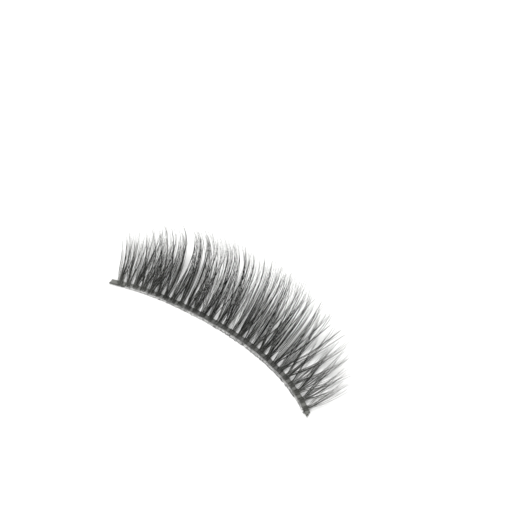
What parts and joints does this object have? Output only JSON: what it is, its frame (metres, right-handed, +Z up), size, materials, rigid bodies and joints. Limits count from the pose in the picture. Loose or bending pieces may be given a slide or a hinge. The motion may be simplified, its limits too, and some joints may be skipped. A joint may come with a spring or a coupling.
{
  "type": "false eyelash strip",
  "caption": "Curled false lashes in overlapping knotted clusters along a thin curved band, with a line of dried clear adhesive on the band's inner edge.",
  "frame": {"origin": "on the flat underside of the band, midway along the row of knots and midway across the band's width", "axes": "+X along the band at its middle, from the inner corner of the eye to the outer corner; +Y from the band towards the lash tips; +Z up, away from the surface that the strip lies on, the way the lashes curl"},
  "size_m": [0.0353, 0.0125, 0.0062],
  "materials": {
    "band": "black cotton thread band, coated, dull satin",
    "adhesive": "dried clear latex adhesive, cloudy and slightly glossy",
    "lash_fibre": "black drawn synthetic fibre, soft satin"
  },
  "bodies": {
    "root": {"lash_band": "band", "glue_line": "adhesive", "lash_cluster_01": "lash_fibre", "lash_cluster_02": "lash_fibre", "lash_cluster_03": "lash_fibre", "lash_cluster_04": "lash_fibre", "lash_cluster_05": "lash_fibre", "lash_cluster_06": "lash_fibre", "lash_cluster_07": "lash_fibre", "lash_cluster_08": "lash_fibre", "lash_cluster_09": "lash_fibre", "lash_cluster_10": "lash_fibre", "lash_cluster_11": "lash_fibre", "lash_cluster_12": "lash_fibre", "lash_cluster_13": "lash_fibre", "lash_cluster_14": "lash_fibre", "lash_cluster_15": "lash_fibre", "lash_cluster_16": "lash_fibre", "lash_cluster_17": "lash_fibre", "lash_cluster_18": "lash_fibre", "lash_cluster_19": "lash_fibre", "lash_cluster_20": "lash_fibre", "lash_cluster_21": "lash_fibre", "lash_cluster_22": "lash_fibre", "lash_cluster_23": "lash_fibre", "lash_cluster_24": "lash_fibre", "lash_cluster_25": "lash_fibre", "lash_cluster_26": "lash_fibre", "lash_cluster_27": "lash_fibre", "lash_cluster_28": "lash_fibre"}
  },
  "joints": []
}
